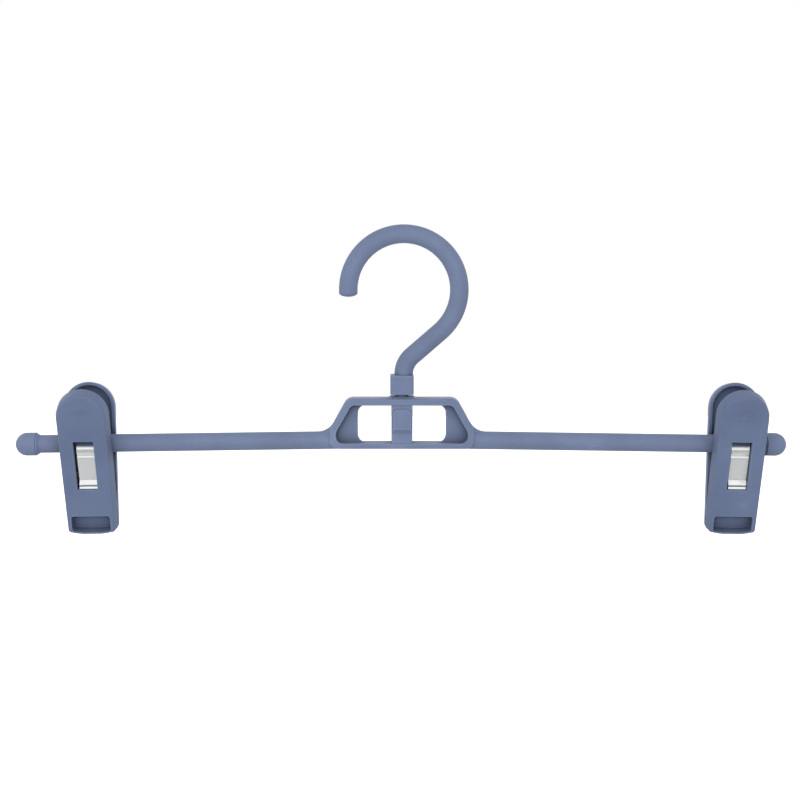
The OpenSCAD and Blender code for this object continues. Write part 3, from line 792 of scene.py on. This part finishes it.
# Turned to its closed angle, the jaw is cut by the toothed plane where the two jaws meet and
# by the bar that its saddles rock on
jaw.data.transform(Matrix.Rotation(jaw_angle, 4, "X"))
bite = [(cut_far, -cut_far), (-tip_gap, -cut_far)]
for i in range(teeth):
    z = pocket_z + tooth_pitch * (i + 0.5)
    bite += [(-tip_gap, z - tooth_half), (-tip_gap - tooth_d, z), (-tip_gap, z + tooth_half)]
bite = np.array(bite + [(-tip_gap, cut_far), (cut_far, cut_far)])
bite = [np.column_stack([np.full(len(bite), x), bite]) for x in (-cut_side, cut_side)]
jaw = joined(jaw, skin("bite", bite), "DIFFERENCE")
seat = [np.column_stack([np.full(len(ring), x), ring * (bar_r + seat_gap)])
        for x in (-cut_side, cut_side)]
jaw = joined(jaw, skin("seat", seat), "DIFFERENCE")
jaw_plastic = moulded("jaw_plastic", (0.139, 0.181, 0.300), 0.15)
to_clip = {
    side: Matrix.Translation(Vector((hand * root_x, 0, bar_z)) * MM)
    @ Matrix.Rotation(hand * bar_slope, 4, "Y")
    @ Matrix.Translation(
        Vector((hand * (shoulder_at - clip_from_shoulder[side] - jaw_w / 2), 0, 0)) * MM)
    @ Matrix.Rotation(clip_lean, 4, "X")
    for side, hand in (("left", -1), ("right", 1))}
for side, place in to_clip.items():
    for facing, turn in (("front", 0), ("back", np.pi)):
        body = side + "_" + facing + "_jaw"
        mesh = jaw.data.copy()
        mesh.transform(place @ Matrix.Rotation(turn, 4, "Z"))
        piece = bpy.data.objects.new(body + "_moulding", mesh)
        bpy.context.scene.collection.objects.link(piece)
        finished(piece, body, "jaw_plastic", jaw_plastic, body)
bpy.data.objects.remove(jaw)


# Springs. One strip of nickel-plated spring steel to each clip, bent over the bar with a
# ridge each side; its arms press the jaws' lower ends together. Each half is a piece of its
# own.
# Painted shade on the strip's crown: none below the first height, full above the second
unshaded_below_z = bar_z - 2.45
painted_shade_above_z = bar_z - 2.05


def bright_strip():
    """Nickel plate: a bright metal with a faint lengthwise grain from rolling. Where the strip
    lies round the bar, above a narrow band of height, painted shade darkens its colour and its
    reflection to a bar blue."""
    paint = bpy.data.materials.new("nickel_plate")
    paint.use_nodes = True
    net = paint.node_tree
    shader = net.nodes["Principled BSDF"]
    shader.inputs["Metallic"].default_value = 0.9
    place = net.nodes.new("ShaderNodeTexCoord")
    stretch = net.nodes.new("ShaderNodeMapping")
    stretch.inputs["Scale"].default_value = (1, 0.06, 0.06)
    grain = net.nodes.new("ShaderNodeTexNoise")
    grain.inputs["Scale"].default_value = 4500
    grain.inputs["Detail"].default_value = 3
    tone = net.nodes.new("ShaderNodeValToRGB")
    low, high = tone.color_ramp.elements
    low.position, high.position = 0.25, 0.75
    low.color = (0.90, 0.91, 0.90, 1)
    high.color = (0.97, 0.98, 0.97, 1)
    gloss = net.nodes.new("ShaderNodeMapRange")
    gloss.inputs["To Min"].default_value = 0.14
    gloss.inputs["To Max"].default_value = 0.26
    net.links.new(place.outputs["Object"], stretch.inputs["Vector"])
    net.links.new(stretch.outputs["Vector"], grain.inputs["Vector"])
    net.links.new(grain.outputs["Fac"], tone.inputs["Fac"])
    height = net.nodes.new("ShaderNodeSeparateXYZ")
    # Painted shade mask: 1 below the band and 0 above it, where the strip takes the painted shade
    # colour
    clear = net.nodes.new("ShaderNodeMapRange")
    clear.inputs["From Min"].default_value = unshaded_below_z * MM
    clear.inputs["From Max"].default_value = painted_shade_above_z * MM
    clear.inputs["To Min"].default_value = 1
    clear.inputs["To Max"].default_value = 0
    shade = net.nodes.new("ShaderNodeMix")
    shade.data_type = "RGBA"
    share, painted_shade_colour, metal_tone = (shade.inputs[i] for i in (0, 6, 7))
    mixed = shade.outputs[2]
    painted_shade_colour.default_value = (0.45, 0.51, 0.66, 1)
    net.links.new(place.outputs["Object"], height.inputs["Vector"])
    net.links.new(height.outputs["Z"], clear.inputs["Value"])
    net.links.new(clear.outputs["Result"], share)
    net.links.new(tone.outputs["Color"], metal_tone)
    net.links.new(mixed, shader.inputs["Base Color"])
    # The painted shade also dims the tint of the metal's reflection
    net.links.new(mixed, shader.inputs["Specular Tint"])
    net.links.new(grain.outputs["Fac"], gloss.inputs["Value"])
    net.links.new(gloss.outputs["Result"], shader.inputs["Roughness"])
    return paint


# One half's middle line, as Y and Z: from the bar's top round its front, then bends of
# (y, z, radius) down the ridge, the arm and the curl. Its section is flat but for its long
# edges, which are cupped by cup |x / w|^3
strip_half_w = 4.4
strip_corner_r = 0.12
face_half_w = 4
cup = 0.35
strip_rings = 150
spring_off = {"left": 0, "right": 1}
spring_steel = bright_strip()
over = strip_r * spokes(rad(np.arange(90, 156, 5)))
bends = np.array([(*over[-1], 0), (-1.05 - strip_r, -1.25, 0.8), (-1.1 - strip_r, -2.9, 2),
                  (-0.5 - strip_r, -4.5, 0.6), (-0.7 - strip_r, -5.6, 1), (arm_y, -arm_l, 0.6),
                  (-strip_r, -1.8 - arm_l, 0.5), (0.1 - strip_r, -2.9 - arm_l, 0.5),
                  (-0.7 - strip_r, -4.9 - arm_l, 0)])
line = [over]
line += [corner(bends[i - 1, :2], bends[i, :2], bends[i + 1, :2], bends[i, 2], 6)
         for i in range(1, len(bends) - 1)]
line = np.concatenate(line + [bends[-1:, :2]])
step = np.concatenate([[0], np.cumsum(np.linalg.norm(np.diff(line, axis=0), axis=1))])
even = np.linspace(0, step[-1], strip_rings)
line = np.column_stack([np.interp(even, step, line[:, k]) for k in (0, 1)])
way = np.gradient(line, axis=0)
way /= np.linalg.norm(way, axis=1)[:, None]
ends = rounded([(x * strip_half_w, z * strip_half, strip_corner_r, 3)
                for x, z in ((-1, -1), (1, -1), (1, 1), (-1, 1))])
face = np.column_stack([np.linspace(-face_half_w, face_half_w, 17), np.full(17, -strip_half)])
section = np.concatenate([ends[:4], face, ends[4:12], -face, ends[12:]])
section[:, 1] -= cup * np.abs(section[:, 0] / strip_half_w) ** 3
rings = np.stack([np.broadcast_to(section[:, 0], (strip_rings, len(section))),
                  line[:, :1] - way[:, 1:] * section[:, 1],
                  line[:, 1:] + way[:, :1] * section[:, 1]], axis=-1)
for side, place in to_clip.items():
    off = Matrix.Translation((spring_off[side] * MM, 0, 0))
    for facing, turn in (("front", 0), ("back", np.pi)):
        put = place @ off @ Matrix.Rotation(turn, 4, "Z")
        half = skin(side + "_" + facing + "_spring", rings)
        half.data.transform(put)
        finished(half, None, "spring_steel", spring_steel, side + "_spring", sharp=50)
        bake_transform(half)

low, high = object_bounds()
